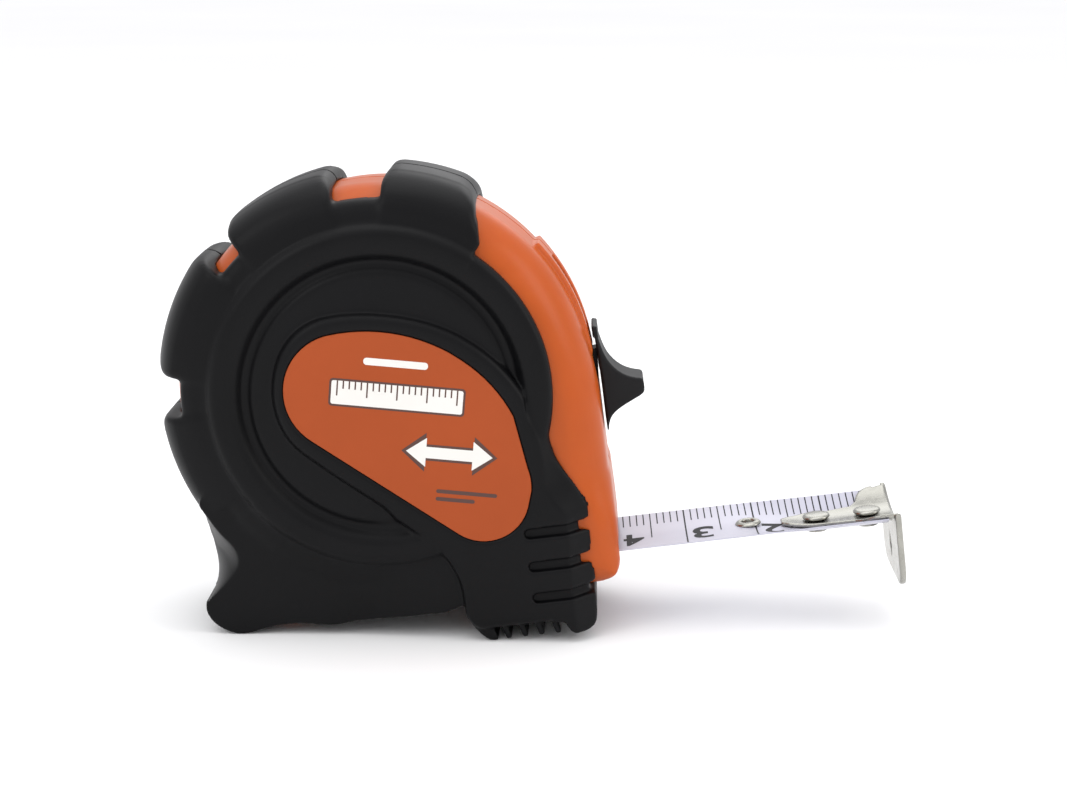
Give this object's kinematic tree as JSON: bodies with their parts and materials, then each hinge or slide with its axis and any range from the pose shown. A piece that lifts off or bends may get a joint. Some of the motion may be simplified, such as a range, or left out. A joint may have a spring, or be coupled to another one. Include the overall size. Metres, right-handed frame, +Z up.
{
  "type": "pocket tape measure",
  "caption": "Pocket tape measure: rubber-gripped plastic case on a coiled, cupped steel blade with a floating end hook, a sliding lock and a belt clip.",
  "frame": {"origin": "on the ground under the middle of the whole part's box", "axes": "+X the way the blade comes out, level; +Y from the label side seen first towards the belt-clip side; +Z up. The case stands 7.26 degrees nose up on its rear feet and comb teeth, so the blade climbs 7.26 degrees from +X."},
  "size_m": [0.1056, 0.0348, 0.0657],
  "materials": {
    "case_plastic": "satin injection-moulded orange",
    "grip_rubber": "matte moulded black elastomer",
    "label": "matte printed film, orange",
    "plated_steel": "nickel-plated",
    "hook_plate": "satin nickel-plated pressed steel",
    "clip_steel": "plated spring steel",
    "drum_plastic": "natural moulded nylon",
    "spring_steel": "blued spring steel",
    "blade_paint": "gloss white enamel with printed scale",
    "lock_plastic": "moulded black",
    "insert_brass": "turned"
  },
  "bodies": {
    "case": {"case_near": "case_plastic", "case_far": "case_plastic", "cover_near": "grip_rubber", "cover_far": "grip_rubber", "label_near": "label", "case_screws": "plated_steel", "spindle": "plated_steel", "lock_spring": "spring_steel", "clip_foot": "clip_steel", "clip_screw": "plated_steel", "clip_insert": "insert_brass"},
    "blade": {"blade": "blade_paint", "stop_eyelet": "plated_steel", "hook_rivets": "plated_steel"},
    "hook": {"end_hook": "hook_plate"},
    "drum": {"drum": "drum_plastic", "drum_cover": "drum_plastic", "return_spring": "spring_steel", "blade_coil": "blade_paint"},
    "lock": {"lock_button": "lock_plastic", "lock_slide": "lock_plastic"},
    "shoe": {"lock_shoe": "lock_plastic"},
    "clip": {"clip_arm": "clip_steel"}
  },
  "joints": [
    {"name": "blade_slide", "type": "slide", "parent": "case", "child": "blade", "axis": [0.992, 0, 0.1264], "range_m": [-0.038, 0.011]},
    {"name": "hook_float", "type": "slide", "parent": "blade", "child": "hook", "axis": [0.992, 0, 0.1264], "range_m": [-0.0004, 0.0004]},
    {"name": "drum_spin", "type": "hinge", "parent": "case", "child": "drum", "pos_m": [-0.02101, -0.0037, 0.03475], "axis": [0, 1, 0], "range_deg": [-27, 92]},
    {"name": "lock_travel", "type": "hinge", "parent": "case", "child": "lock", "pos_m": [-0.02101, -0.0037, 0.03475], "axis": [0, -1, 0], "range_deg": [0, 18]},
    {"name": "shoe_lift", "type": "slide", "parent": "case", "child": "shoe", "axis": [-0.1264, 0, 0.992], "range_m": [0, 0.0008]},
    {"name": "clip_flex", "type": "hinge", "parent": "case", "child": "clip", "pos_m": [-0.0228, 0.01055, 0.04879], "axis": [0.992, 0, 0.1264], "range_deg": [0, 8], "stiffness_Nm_per_rad": 1.5}
  ],
  "couplings": [
    {"joint": "drum_spin", "follows": "blade_slide", "rad_per_m": -41.667},
    {"joint": "shoe_lift", "follows": "lock_travel", "m_per_rad": 0.002545}
  ]
}
